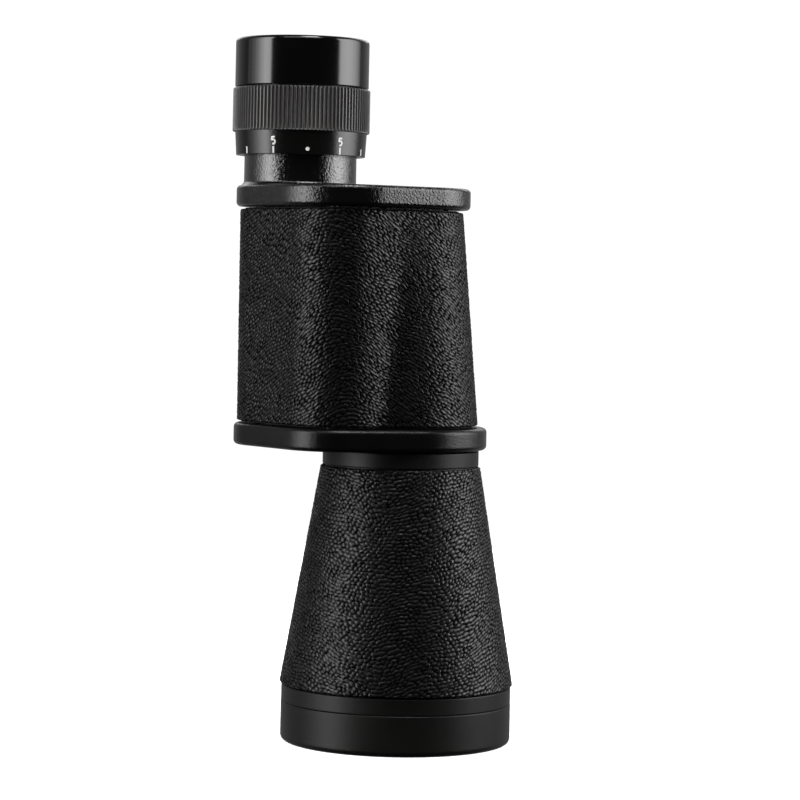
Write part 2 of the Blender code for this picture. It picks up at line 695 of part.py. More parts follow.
def build_dioptre_ring():
    """The ring that the hand turns: a knurled band over a plain skirt that carries the scale."""
    hub_bore, hub_radius, hub_top = BARREL_RADIUS + GAP, 14.6, 169.0
    web_low = 164.0
    skirt_bore = NECK_RADIUS + 0.4
    blank = KNURL_RADIUS + 0.5
    profile = [(skirt_bore, SKIRT_LOW), (SKIRT_LOW_RADIUS, SKIRT_LOW), (SKIRT_HIGH_RADIUS, KNURL_LOW)]
    profile += [(blank, KNURL_LOW), (blank, KNURL_HIGH), (hub_radius, KNURL_HIGH), (hub_radius, hub_top)]
    profile += [(hub_bore, hub_top), (hub_bore, web_low), (skirt_bore, web_low)]
    ring = turned("dioptre_ring", profile, "black_anodised", EYEPIECE_AXIS)
    ribs = ring_outline([KNURL_RADIUS, KNURL_RADIUS - KNURL_DEPTH] * KNURL_RIBS)
    outside = ring_outline([KNURL_RADIUS + 3] * COARSE)
    knurl = slab("knurl_cutter", outside, KNURL_LOW - 1, KNURL_HIGH + 1, holes=[ribs])
    knurl.location.xy = EYEPIECE_AXIS * MM
    hollows = [knurl]
    for i in range(3):
        angle = math.radians(97 + 120 * i)
        out = Vector((math.cos(angle), math.sin(angle)))
        hole = cylinder(f"grub_hole_{i + 1}", (0, 0), 1.05, -3.0, 3.0, steps=9)
        hole.location = Vector((*(out * 13.5), 167.8)) * MM
        grub = cylinder(f"dioptre_grub_screw_{i + 1}", (0, 0), 0.8, -1.0, 1.0, "screw_steel", steps=12)
        grub.location = Vector((*(out * 13.55), 167.8)) * MM
        slot = block(f"grub_slot_{i + 1}", (0, 0, 1.0), (4.0, 0.35, 0.9))
        slot.parent = grub
        cut(grub, slot)
        for obj in (hole, grub):
            obj.rotation_euler = (0.0, math.pi / 2, angle)
            obj.parent = ring
        hollows.append(hole)
    cut(ring, *hollows)


def build_eyepiece():
    """The barrel with its thread, its lenses and rings, and the eyecup, which all move on that thread."""
    top = 172.8
    foot = 142.3
    barrel = [(11.2, foot), (11.2, 144.5), (BARREL_RADIUS, 144.5), (BARREL_RADIUS, top), (BARREL_BORE, top)]
    barrel += [(BARREL_BORE, 148.5), (9.6, 148.5), (9.6, foot)]
    barrel = turned("ocular_barrel", barrel, "brass", EYEPIECE_AXIS)
    ridges = helix_bars("ridge", THREAD_HELIX_RADIUS, RIDGE_RADIUS, 150.5, 157.5)
    join(barrel, *ridges)

    stop = [(11.5, foot), (12.9, foot), (12.9, 144.2), (11.5, 144.2)]
    turned("travel_stop_ring", stop, "brass", EYEPIECE_AXIS)

    lens = BARREL_BORE - GAP
    stop = [(WINDOW_RADIUS, 149.6), (lens, 148.8), (lens, 150.2), (WINDOW_RADIUS, 150.0)]
    turned("field_stop", stop, "black_anodised", EYEPIECE_AXIS)

    field = lens_arc(150.7, 60.0, lens, -1) + lens_arc(156.0, 30.0, lens, 1)[::-1]
    turned("field_lens", field, "glass", EYEPIECE_AXIS)
    spacer = [(lens - 1.2, 154.6), (lens, 154.6), (lens, 160.5), (lens - 1.2, 160.5)]
    turned("lens_spacer", spacer, "black_anodised", EYEPIECE_AXIS)
    flint = lens_arc(161.9, 55.0, lens, -1)
    flint = [(r, z - 1.0) for r, z in flint] + lens_arc(162.6, 24.0, lens, -1)[::-1]
    turned("eye_flint_lens", flint, "glass", EYEPIECE_AXIS)
    crown = lens_arc(162.85, 24.0, lens, -1) + lens_arc(170.3, 32.0, lens, 1)[::-1]
    turned("eye_crown_lens", crown, "glass", EYEPIECE_AXIS)
    keeper = [(lens - 1.5, 169.5), (lens, 169.0), (lens, 171.2), (lens - 0.9, 171.2)]
    keeper_ring = turned("ocular_retaining_ring", keeper, "black_anodised", EYEPIECE_AXIS)
    spanner_slots(keeper_ring, "ocular_keeper_slot", lens, 1.2, 170.6, 172.0, EYEPIECE_AXIS)

    base, rim = KNURL_HIGH + GAP, EYECUP_RADIUS - 2.4
    cup = [(14.95, base), (EYECUP_RADIUS, base)]
    cup += arc(EYECUP_RADIUS - 1.4, EYECUP_TOP - 1.4, 1.4, 0, 90, 3)
    cup += [(rim, EYECUP_TOP), (rim - 0.6, EYECUP_TOP - 0.5), (9.6, 174.2), (9.6, 173.1)]
    cup += [(BARREL_RADIUS + GAP, 173.1), (BARREL_RADIUS + GAP, 169.3), (14.95, 169.3)]
    turned("eyecup", cup, "gloss_plastic", EYEPIECE_AXIS, FINE)


# ---------------------------------------------------------------- the whole object

clear_scene()
PARTS = new_collection("porro_monocular")
CUTTERS = new_collection("cutters")
upper_pillar, *upper_hollows = build_prism("upper_prism", OBJECTIVE, CORNER, upwards=True)
lower_pillar, *lower_hollows = build_prism("lower_prism", CORNER, EYEPIECE, upwards=False)
build_housing(([upper_pillar, lower_pillar], upper_hollows + lower_hollows))
build_leatherette()
build_bottom_cover()
build_top_cover()
build_objective()
build_dioptre_ring()
build_eyepiece()
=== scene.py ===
import math

import bmesh
import bpy
import numpy as np
from mathutils import Matrix, Vector


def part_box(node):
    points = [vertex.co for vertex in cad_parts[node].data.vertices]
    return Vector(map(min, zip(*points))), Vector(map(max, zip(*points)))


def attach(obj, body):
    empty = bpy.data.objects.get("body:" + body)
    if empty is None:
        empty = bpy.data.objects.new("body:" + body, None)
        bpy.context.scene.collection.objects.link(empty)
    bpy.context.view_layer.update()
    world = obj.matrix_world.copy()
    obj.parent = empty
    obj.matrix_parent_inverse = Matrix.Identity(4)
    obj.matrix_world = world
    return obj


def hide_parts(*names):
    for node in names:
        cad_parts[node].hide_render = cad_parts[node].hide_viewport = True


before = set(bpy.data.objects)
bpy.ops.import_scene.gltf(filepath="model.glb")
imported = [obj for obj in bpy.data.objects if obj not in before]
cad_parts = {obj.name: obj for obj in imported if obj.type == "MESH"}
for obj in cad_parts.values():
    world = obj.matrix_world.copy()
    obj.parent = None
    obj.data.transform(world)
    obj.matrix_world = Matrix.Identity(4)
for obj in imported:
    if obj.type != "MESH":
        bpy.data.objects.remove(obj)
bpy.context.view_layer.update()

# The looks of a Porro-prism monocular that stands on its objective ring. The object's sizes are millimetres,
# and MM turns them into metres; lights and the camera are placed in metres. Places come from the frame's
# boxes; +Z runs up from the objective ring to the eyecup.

MM = 0.001
GAP = 0.3  # between neighbouring pieces


def axis_of(node):
    """The plan position of a round node's axis."""
    low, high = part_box(node)
    return np.array([(low.x + high.x) / 2, (low.y + high.y) / 2]) / MM


def heights_of(node):
    """The lowest and the highest point of a node."""
    low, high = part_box(node)
    return low.z / MM, high.z / MM


EYE = axis_of("eyecup")
LENS = axis_of("objective_front_ring")
MIDDLE = (EYE + LENS) / 2
CORNER = MIDDLE + np.array([0.0, -(LENS[0] - EYE[0]) / 2])
TOP_CORNER = CORNER + np.array([0.0, 3.7])
PLAN_CENTRE = MIDDLE + np.array([1.0, -6.0])

BOTTOM_LOW, BOTTOM_HIGH = heights_of("bottom_cover")
TOP_LOW, NECK_TOP = heights_of("top_cover")
TOP_HIGH = TOP_LOW + 5.5
LEATHER_LOW, LEATHER_HIGH = heights_of("housing_leatherette")
CONE_LOW, CONE_HIGH = heights_of("objective_leatherette")
CUP_LOW, CUP_TOP = heights_of("eyecup")
SKIRT_LOW, HUB_TOP = heights_of("dioptre_ring")
KNURL_LOW, KNURL_HIGH = SKIRT_LOW + 6.0, CUP_LOW - GAP
RING_TOP = heights_of("objective_tube")[0] - GAP
BAND_TOP = CONE_LOW - GAP
NECK_SHOULDER = NECK_TOP - 12

# Ground plan radii: about the eyepiece's axis, the prism corner and the objective's axis.
HOUSING_RADII_LOW = (15.0, 14.2, 19.6)
HOUSING_RADII_HIGH = (15.2, 14.2, 14.7)
BOTTOM_COVER_RADII = (15.7, 15.3, 21.8)
TOP_COVER_RADII = (16.2, 19.0, 16.5)
PLATE_EDGE = 1.15

# Turned radii.
CONE_LOW_RADIUS, CONE_HIGH_RADIUS = 29.8, 20.4
RING_RADIUS, BAND_RADIUS = 29.25, 29.2
RING_BORE = 26.2
NECK_RADIUS, NECK_BORE = 14.35, 13.0
SKIRT_LOW_RADIUS, SKIRT_RISE = 16.55, 0.35
KNURL_RADIUS = 17.6
KNURL_RIBS, KNURL_DEPTH = 104, 0.4
CUP_RADIUS = 17.15
SCREW_HEAD, SCREW_SHANK, SCREW_HEAD_HEIGHT = 1.9, 0.95, 1.1
SCREW_WELL, SCREW_HOLE, WELL_DEPTH = 2.2, 1.2, 1.5

# Leatherette.
LEATHER = 0.9
GRAIN_DEPTH = 0.32
GRAIN_MESH = 0.25
EDGE_ROLL = 0.3
SEAM_WIDTH, SEAM_DEPTH = 0.22, 0.25
HOUSING_COLUMNS, CONE_COLUMNS = 760, 632

# ---------------------------------------------------------------- materials


def new_material(name):
    """An empty material: itself, its nodes, its links and its shader."""
    made = bpy.data.materials.new(name)
    made.use_nodes = True
    nodes = made.node_tree.nodes
    return made, nodes, made.node_tree.links, nodes["Principled BSDF"]


def noise(nodes, links, scale, detail=3.0, roughness=0.55, stretch=(1.0, 1.0, 1.0)):
    """Noise in the object's own metres; scale is cycles per metre."""
    place = nodes.new("ShaderNodeTexCoord")
    mapping = nodes.new("ShaderNodeMapping")
    mapping.inputs["Scale"].default_value = stretch
    texture = nodes.new("ShaderNodeTexNoise")
    texture.inputs["Scale"].default_value = scale
    texture.inputs["Detail"].default_value = detail
    texture.inputs["Roughness"].default_value = roughness
    links.new(place.outputs["Object"], mapping.inputs["Vector"])
    links.new(mapping.outputs["Vector"], texture.inputs["Vector"])
    return texture.outputs["Fac"]


def ramp(nodes, links, source, stops):
    """A colour ramp; stops are (position, grey or colour)."""
    made = nodes.new("ShaderNodeValToRGB")
    for element, (position, colour) in zip(made.color_ramp.elements, stops):
        element.position = position
        colour = (colour,) * 3 if isinstance(colour, float) else colour
        element.color = (*colour, 1.0)
    links.new(source, made.inputs["Fac"])
    return made.outputs["Color"]


def spread(nodes, links, source, low, high):
    """Maps 0..1 to low..high."""
    made = nodes.new("ShaderNodeMapRange")
    made.inputs["To Min"].default_value = low
    made.inputs["To Max"].default_value = high
    links.new(source, made.inputs["Value"])
    return made.outputs["Result"]


def bump(nodes, links, source, strength, distance):
    """A bump from a height source; distance is in millimetres."""
    made = nodes.new("ShaderNodeBump")
    made.inputs["Strength"].default_value = strength
    made.inputs["Distance"].default_value = distance * MM
    links.new(source, made.inputs["Height"])
    return made.outputs["Normal"]


def painted(name, dark, light, rough, grain, depth, specular=0.5, metallic=0.0):
    """A painted or anodised finish: faint mottling, uneven gloss and a fine grain of a given depth."""
    made, nodes, links, shader = new_material(name)
    blotch = noise(nodes, links, 90.0, 4.0)
    speck = noise(nodes, links, grain, 2.0, 0.6)
    links.new(ramp(nodes, links, blotch, [(0.3, dark), (0.7, light)]), shader.inputs["Base Color"])
    links.new(spread(nodes, links, blotch, *rough), shader.inputs["Roughness"])
    links.new(bump(nodes, links, speck, 1.0, depth), shader.inputs["Normal"])
    shader.inputs["Metallic"].default_value = metallic
    shader.inputs["Specular IOR Level"].default_value = specular
    return made


def leatherette(name):
    """Embossed leathercloth: the mesh holds the grain; its tips are polished and its valleys dull, and its colour
    is darkened in the valleys as painted shade.
    """
    made, nodes, links, shader = new_material(name)
    grain = nodes.new("ShaderNodeAttribute")
    grain.attribute_name = "grain"
    height = grain.outputs["Fac"]
    blotch = noise(nodes, links, 60.0, 4.0)
    fine = noise(nodes, links, 4200.0, 3.0, 0.6)
    # Painted shade: the base colour runs from near black in the grain's valleys to the tips' colour, darkening
    # the creases where shade falls.
    valley_shade_colours = [(0.2, (0.0005, 0.0005, 0.0005)), (0.8, (0.0032, 0.0032, 0.0034))]
    links.new(ramp(nodes, links, height, valley_shade_colours), shader.inputs["Base Color"])
    rough = nodes.new("ShaderNodeMath")
    rough.operation = "MULTIPLY_ADD"
    links.new(blotch, rough.inputs[0])
    rough.inputs[1].default_value = 0.1
    links.new(spread(nodes, links, height, 0.6, 0.2), rough.inputs[2])
    links.new(rough.outputs[0], shader.inputs["Roughness"])
    links.new(bump(nodes, links, fine, 0.5, 0.03), shader.inputs["Normal"])
    shine = ramp(nodes, links, height, [(0.3, 0.008), (0.85, 0.37)])
    links.new(shine, shader.inputs["Specular IOR Level"])
    return made


def glass(name, tint, coating):
    """Lens glass with a coloured anti-reflection coating."""
    made, nodes, links, shader = new_material(name)
    smear = noise(nodes, links, 120.0, 3.0)
    pale = tuple(min(1.0, c * 1.02) for c in tint)
    links.new(spread(nodes, links, smear, 0.0, 0.02), shader.inputs["Roughness"])
    links.new(ramp(nodes, links, smear, [(0.3, tint), (0.7, pale)]), shader.inputs["Base Color"])
    shader.inputs["Transmission Weight"].default_value = 1.0
    shader.inputs["IOR"].default_value = 1.52
    shader.inputs["Specular Tint"].default_value = (*coating, 1.0)
    return made


def metal(name, dark, light, rough, stretch=(1.0, 1.0, 1.0)):
    """Bare machined metal: fine turning marks and a slight stain."""
    made, nodes, links, shader = new_material(name)
    marks = noise(nodes, links, 900.0, 3.0, 0.6, stretch)
    stain = noise(nodes, links, 150.0, 4.0)
    links.new(ramp(nodes, links, stain, [(0.3, dark), (0.7, light)]), shader.inputs["Base Color"])
    links.new(spread(nodes, links, marks, *rough), shader.inputs["Roughness"])
    links.new(bump(nodes, links, marks, 0.4, 0.02), shader.inputs["Normal"])
    shader.inputs["Metallic"].default_value = 1.0
    return made


def cork(name, dark, light):
    """Pressed cork: rounded crumbs, dull all over."""
    made, nodes, links, shader = new_material(name)
    place = nodes.new("ShaderNodeTexCoord")
    texture = nodes.new("ShaderNodeTexVoronoi")
    texture.inputs["Scale"].default_value = 1400.0
    links.new(place.outputs["Object"], texture.inputs["Vector"])
    crumb = texture.outputs["Distance"]
    links.new(ramp(nodes, links, crumb, [(0.1, dark), (0.6, light)]), shader.inputs["Base Color"])
    links.new(spread(nodes, links, crumb, 0.8, 0.95), shader.inputs["Roughness"])
    links.new(bump(nodes, links, crumb, 0.8, 0.15), shader.inputs["Normal"])
    return made


def grey(level):
    """A neutral colour."""
    return (level, level, level)


BLACK, SOOT = (0.0018, 0.0018, 0.002), (0.0032, 0.0032, 0.0034)

GLOSS = painted(
    "eyecup_gloss_plastic", (0.0016, 0.0016, 0.002), (0.0026, 0.0026, 0.003), (0.11, 0.15), 700.0, 0.003
)
KNURL = painted(
    "knurl_anodised", (0.025, 0.023, 0.023), (0.036, 0.0335, 0.033), (0.34, 0.44), 2500.0, 0.02, 0.75
)
SKIRT = painted("skirt_anodised", grey(0.002), (0.0036, 0.0036, 0.0034), (0.16, 0.24), 2600.0, 0.03, 0.4)
PAINT = painted("black_wrinkle_paint", BLACK, SOOT, (0.09, 0.16), 1800.0, 0.14, 0.9)
COVER_PAINT = painted("black_cover_paint", BLACK, SOOT, (0.12, 0.2), 1800.0, 0.15, 0.55)
DULL_PAINT = painted("black_satin_paint", grey(0.0018), grey(0.003), (0.2, 0.3), 2400.0, 0.08, 0.26)
TUBE = painted(
    "tube_satin_black", (0.0038, 0.0034, 0.0032), (0.0058, 0.0054, 0.005), (0.38, 0.46), 2600.0, 0.03, 0.22
)
INSIDE = painted("inside_matt_black", grey(0.003), grey(0.006), (0.75, 0.9), 1800.0, 0.1)
ANODISED = painted("inner_anodised", grey(0.012), grey(0.02), (0.38, 0.5), 2400.0, 0.03, metallic=0.3)
WHITE = painted("dial_white_paint", (0.8, 0.8, 0.78), (0.88, 0.88, 0.86), (0.45, 0.6), 3000.0, 0.02)
LEATHERCLOTH = leatherette("leathercloth")
OBJECTIVE_GLASS = glass("objective_glass", (0.93, 0.97, 0.98), (0.45, 0.35, 1.0))
OCULAR_GLASS = glass("ocular_glass", (0.96, 0.98, 0.96), (0.6, 0.45, 1.0))
PRISM_GLASS = glass("prism_glass", (0.9, 0.97, 0.95), (1.0, 1.0, 1.0))
BRASS = metal("turned_brass", (0.48, 0.33, 0.12), (0.66, 0.49, 0.22), (0.25, 0.4), (1.0, 1.0, 12.0))
SCREW_STEEL = metal("blackened_steel", (0.05, 0.05, 0.052), (0.10, 0.10, 0.104), (0.28, 0.42))
SPRING_STEEL = metal("spring_steel", (0.42, 0.42, 0.44), (0.58, 0.58, 0.60), (0.22, 0.36), (1.0, 8.0, 1.0))
CORK = cork("cork_pad", (0.22, 0.13, 0.06), (0.42, 0.27, 0.14))

# ---------------------------------------------------------------- mesh helpers


def new_object(name, points, faces):
    """A linked object from points in millimetres and faces."""
    mesh = bpy.data.meshes.new(name)
    mesh.from_pydata(np.asarray(points) * MM, [], faces)
    mesh.update()
    obj = bpy.data.objects.new(name, mesh)
    bpy.context.scene.collection.objects.link(obj)
    return obj


def weld(shape):
    bmesh.ops.remove_doubles(shape, verts=shape.verts, dist=1e-7)


def face_out(shape):
    bmesh.ops.recalc_face_normals(shape, faces=shape.faces)


def split_big_faces(shape):
    bmesh.ops.triangulate(shape, faces=[f for f in shape.faces if len(f.verts) > 4])


def mend(mesh, *steps):
    """Runs mesh repairs in their order."""
    shape = bmesh.new()
    shape.from_mesh(mesh)
    for step in steps:
        step(shape)
    shape.to_mesh(mesh)
    shape.free()


def smooth(mesh, crease):
    """Smooth shading, with edges sharper than the crease, in degrees, left sharp."""
    mesh.shade_smooth()
    mesh.set_sharp_from_angle(angle=math.radians(crease))


def dress(obj, finish, body, replaced):
    """One finish; the object rides on its body, has its material slot and stands for its CAD nodes."""
    obj.data.materials.clear()
    obj.data.materials.append(finish)
    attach(obj, body)
    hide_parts(*replaced)


def add_piece(name, points, faces, finish, body, replaced):
    """A finished piece from points in millimetres and faces."""
    obj = new_object(name, points, faces)
    mend(obj.data, weld, face_out)
    smooth(obj.data, 38)
    dress(obj, finish, body, replaced)
    return obj


def rounded(corners, steps=5, support=0.18):
    """A closed profile from corners (r, z, fillet); a fillet is an arc with a support point on either side."""
    profile = []
    count = len(corners)
    for i, (r, z, fillet) in enumerate(corners):
        here = Vector((r, z))
        back = Vector(corners[i - 1][:2]) - here
        ahead = Vector(corners[(i + 1) % count][:2]) - here
        back_length, ahead_length = back.length, ahead.length
        back.normalize()
        ahead.normalize()
        half = back.angle(ahead) / 2
        if fillet <= 0 or half > math.radians(89):
            profile.append((r, z))
            continue
        reach = min(fillet / math.tan(half), 0.47 * back_length, 0.47 * ahead_length)
        radius = reach * math.tan(half)
        middle = here + (back + ahead).normalized() * (radius / math.sin(half))
        first = here + back * reach
        turn = (here + ahead * reach - middle).angle_signed(first - middle)
        if support < back_length * 0.2:
            profile.append(tuple(first + back * support))
        for k in range(steps + 1):
            spoke = (first - middle).copy()
            spoke.rotate(Matrix.Rotation(turn * k / steps, 2))
            profile.append(tuple(middle + spoke))
        if support < ahead_length * 0.2:
            profile.append(tuple(here + ahead * (reach + support)))
    return profile


def ring_faces(a, b, steps):
    """Quads between two closed rows of points that start at a and b."""
    return [(a + k, a + (k + 1) % steps, b + (k + 1) % steps, b + k) for k in range(steps)]


def revolve(name, profile, axis, steps, finish, body, replaced, shift=None):
    """A turned piece. shift(r, z, angle) gives new radii; a profile whose ends lie on the axis is solid."""
    profile = np.array(profile, float)
    angles = np.arange(steps) * 2 * math.pi / steps
    r = np.repeat(profile[:, :1], steps, 1)
    z = np.repeat(profile[:, 1:], steps, 1)
    turn = np.repeat(angles[None, :], len(profile), 0)
    if shift:
        r = shift(r, z, turn)
    points = np.stack([axis[0] + r * np.cos(turn), axis[1] + r * np.sin(turn), z], -1).reshape(-1, 3)
    rows = len(profile)
    solid = profile[0][0] == 0
    faces = []
    for i in range(rows - 1 if solid else rows):
        faces += ring_faces(i * steps, (i + 1) % rows * steps, steps)
    if solid:
        points, faces = close_poles(points, faces, steps, rows)
    return add_piece(name, points, faces, finish, body, replaced)


def close_poles(points, faces, steps, rows):
    """Makes each end row of a solid turned piece one point."""
    last = (rows - 1) * steps

    def pole(i):
        return 0 if i < steps else last if i >= last else i

    closed = []
    for face in faces:
        corners = []
        for i in face:
            i = pole(i)
            if i not in corners:
                corners.append(i)
        if len(corners) > 2:
            closed.append(tuple(corners))
    used = sorted({i for face in closed for i in face})
    number = {old: new for new, old in enumerate(used)}
    return points[used], [tuple(number[i] for i in face) for face in closed]


def carve(obj, cutters):
    """Cuts each cutter out of obj for good."""
    group = bpy.data.collections.new(obj.name + "_cutters")
    bpy.context.scene.collection.children.link(group)
    for cutter in cutters:
        bpy.context.scene.collection.objects.unlink(cutter)
        group.objects.link(cutter)
    step = obj.modifiers.new("Carve", "BOOLEAN")
    step.operation = "DIFFERENCE"
    step.solver = "EXACT"
    step.operand_type = "COLLECTION"
    step.collection = group
    bpy.context.view_layer.update()
    graph = bpy.context.evaluated_depsgraph_get()
    cut = bpy.data.meshes.new_from_object(obj.evaluated_get(graph))
    obj.modifiers.clear()
    obj.data = cut
    for cutter in cutters:
        bpy.data.objects.remove(cutter, do_unlink=True)
    bpy.data.collections.remove(group)
    smooth(obj.data, 38)


def prism(name, ring, low, high):
    """A cutter of any outline between two heights."""
    count = len(ring)
    points = [(x, y, low) for x, y in ring] + [(x, y, high) for x, y in ring]
    faces = [tuple(range(count))[::-1], tuple(range(count, 2 * count))]
    return new_object(name, points, faces + ring_faces(0, count, count))


def bar(name, place, radius, low, high, steps=48):
    """A round cutter about a plan position."""
    angles = np.arange(steps) * 2 * math.pi / steps
    ring = np.stack([place[0] + radius * np.cos(angles), place[1] + radius * np.sin(angles)], -1)
    return prism(name, ring, low, high)


# ---------------------------------------------------------------- the ground plan


def reach(direction, centre, radius):
    """How far each ray from the plan's centre runs before it leaves a circle; 0 where it misses it."""
    offset = centre - PLAN_CENTRE
    along = direction @ offset
    across = offset @ offset - along**2
    return np.where(across > radius**2, 0.0, along + np.sqrt(np.maximum(radius**2 - across, 0)))


def bar_reach(direction, a, radius_a, b, radius_b, steps=96):
    """How far each ray runs before it leaves the line of circles from a to b."""
    found = np.zeros(len(direction))
    for i in range(steps + 1):
        t = i / steps
        found = np.maximum(found, reach(direction, a + (b - a) * t, radius_a + (radius_b - radius_a) * t))
    return found


def housing_outline(height, columns, start):
    """The leatherette's outline at a height, in even steps from a start angle: points, normals and girth.

    Towards the bottom the wall between the prism corner and the objective sinks in to a filleted hollow.
    """
    rise = (height - BOTTOM_HIGH) / (TOP_LOW - BOTTOM_HIGH)
    eye, corner, lens = (a + (b - a) * rise for a, b in zip(HOUSING_RADII_LOW, HOUSING_RADII_HIGH))
    fillet, rays = 4.0, 960
    angles = start + np.arange(rays + 1) * 2 * math.pi / rays
    direction = np.stack([np.cos(angles), np.sin(angles)], -1)
    left = bar_reach(direction, EYE, eye, CORNER, corner)
    back = bar_reach(direction, EYE, eye, LENS, lens)
    right = bar_reach(direction, CORNER, corner, LENS, lens)
    filled = np.maximum(np.maximum(left, right), back)
    lobe = reach(direction, LENS, lens)
    overlap = np.maximum(fillet - np.abs(left - lobe), 0.0) / fillet
    hollow = np.maximum(np.maximum(left, lobe) + overlap**2 * fillet / 4, back)
    distance = filled + (np.minimum(hollow, filled) - filled) * (1.0 - rise)
    points = PLAN_CENTRE + direction * distance[:, None]
    run = np.concatenate([[0.0], np.cumsum(np.linalg.norm(np.diff(points, axis=0), axis=1))])
    where = np.linspace(0.0, run[-1], columns + 1)
    even = np.stack([np.interp(where, run, points[:, k]) for k in (0, 1)], -1)
    tangent = np.roll(even[:-1], -3, 0) - np.roll(even[:-1], 3, 0)
    tangent /= np.linalg.norm(tangent, axis=1)[:, None]
    normal = np.stack([tangent[:, 1], -tangent[:, 0]], -1)
    return even[:-1], normal, run[-1]


def hull_outline(radii, corner, inset, step=3.0):
    """The line stretched round three circles, about the two axes and the corner, moved in by the inset."""
    circles = [(c, r - inset) for c, r in zip((EYE, corner, LENS), radii)]
    normals = []
    for (a, radius_a), (b, radius_b) in zip(circles, circles[1:] + circles[:1]):
        side = b - a
        lean = math.asin((radius_a - radius_b) / np.linalg.norm(side))
        normals.append(math.atan2(side[1], side[0]) - math.pi / 2 + lean)
    outline = []
    for i, (centre, radius) in enumerate(circles):
        first, last = normals[i - 1], normals[i]
        while last < first:
            last += 2 * math.pi
        count = max(2, round(math.degrees(last - first) / step))
        for k in range(count + 1):
            angle = first + (last - first) * k / count
            outline.append(centre + np.array([math.cos(angle), math.sin(angle)]) * radius)
    return np.array(outline)


# ---------------------------------------------------------------- leatherette


def row_of_pebbles(u, v, row, table):
    """How far each point is from one row's nearest and next pebble, and how tall the nearest one is.

    u runs along the rows and v across them, both counted in pebbles. The table scatters each pebble's centre.
    """
    rows, columns = table.shape[:2]
    near = np.full(u.shape, 9.0)
    second = near.copy()
    tall = np.zeros(u.shape)
    for step in (-2, -1, 0, 1):
        column = np.floor(u).astype(int) + step
        entry = table[row % rows, column % columns]
        along = u - (column + 0.5 + 0.5 * (row % 2) + 0.36 * entry[:, 0])
        over = v - (row + 0.5 + 0.3 * entry[:, 1])
        distance = np.hypot(along, over)
        closer = distance < near
        second = np.where(closer, near, np.minimum(second, distance))
        tall = np.where(closer, entry[:, 2], tall)
        near = np.minimum(near, distance)
    return near, second, tall


def pebbles(across, level, girth, crease, slope, size, table):
    """Embossed pebbles, 0 in the valleys to 1 on their tops; their rows fall, or rise, away from the crease.

    Pebbles of one row run together into short ridges in places.
    """
    valley = 0.55
    offset = across - crease * girth
    sway = 0.5 * np.sin(offset * 0.23 + level * 0.11) + 0.35 * np.sin(offset * 0.41 - level * 0.29)
    u = (offset + 0.6 * np.sin(level * 0.35 + offset * 0.19)) / size[0]
    v = (level + slope * np.sqrt(offset**2 + 9.0) + sway) / size[1]
    row = np.floor(v).astype(int)
    found = [row_of_pebbles(u, v, row + step, table) for step in (-1, 0, 1)]
    nearest, seconds, heights = (np.array(part) for part in zip(*found))
    pick = np.argmin(nearest, axis=0)
    every = np.arange(len(across))
    near, beside, tall = nearest[pick, every], seconds[pick, every], heights[pick, every]
    above = np.sort(nearest, axis=0)[1]
    merge = np.sin(0.83 * u + 1.3 * np.sin(0.47 * v)) * np.cos(0.71 * v - 0.9 * np.sin(0.53 * u))
    merge = np.maximum(0.22 + 0.55 * merge, 0.0)
    rise = np.clip((above - near) / valley, 0.0, 1.0)
    rise = np.minimum(rise, np.clip((beside - near) / valley + merge, 0.0, 1.0))
    return rise * (2 - rise) * (1 - 0.45 * np.minimum(near, 1.0) ** 2) * (0.85 + 0.15 * tall)


def skin_mesh(outer, inner, levels):
    """Points and faces of a part of a sleeve, from its lines at each level; it uses few of the inner ones."""
    rows, width = len(levels), len(outer[0])
    back_rows = list(range(0, rows, 24))
    if back_rows[-1] != rows - 1:
        back_rows.append(rows - 1)
    lines = [np.column_stack([line, np.full(width, z)]) for line, z in zip(outer, levels)]
    lines += [np.column_stack([inner[i], np.full(width, levels[i])]) for i in reversed(back_rows)]
    total = len(lines)
    faces = []
    for i in range(total):
        a, b = i * width, (i + 1) % total * width
        faces += [(a + k, a + k + 1, b + k + 1, b + k) for k in range(width - 1)]
    for end in (0, width - 1):
        faces.append(tuple(i * width + end for i in range(total)))
    return np.concatenate(lines), faces


def sheath(name, outline_at, low, high, columns, quarters, grain, node):
    """The part of a leatherette sleeve between two quarters of its girth.

    It is embossed outside and plain inside, its top and bottom edges are rolled in, and it has a seam groove
    where its girth starts.
    """
    rows = int(round((high - low) / GRAIN_MESH)) + 1
    levels = np.linspace(low, high, rows)
    first, last = (quarter * (columns // 4) for quarter in quarters)
    picked = np.arange(first, last + 1) % columns
    outer, inner, heights = [], [], []
    for level in levels:
        points, normal, girth = outline_at(level)
        points, normal = points[picked], normal[picked]
        near = min(level - low, high - level)
        roll = EDGE_ROLL - math.sqrt(max(EDGE_ROLL**2 - max(EDGE_ROLL - near, 0.0) ** 2, 0.0))
        across = picked * girth / columns
        tone = grain(across, level, girth)
        fade = min(near / 0.5, 1.0)
        seam = np.exp(-((np.minimum(across, girth - across) / SEAM_WIDTH) ** 2))
        drop = GRAIN_DEPTH * (1 - tone) * (0.35 + 0.65 * fade) + roll + SEAM_DEPTH * seam
        # The grain attribute is 0 along the seam, so the material paints the seam groove with the valleys'
        # painted shade.
        heights.append(tone * (1 - seam))
        outer.append(points - normal * drop[:, None])
        inner.append(points - normal * LEATHER)
    obj = new_object(name, *skin_mesh(outer, inner, levels))
    mesh = obj.data
    tone = mesh.attributes.new("grain", "FLOAT", "POINT")
    values = np.zeros(len(mesh.vertices), np.float32)
    heights = np.concatenate(heights)
    values[: len(heights)] = heights
    tone.data.foreach_set("value", values)
    mend(mesh, face_out, split_big_faces)
    smooth(mesh, 75)
    dress(obj, LEATHERCLOTH, "monocular_body", [node])


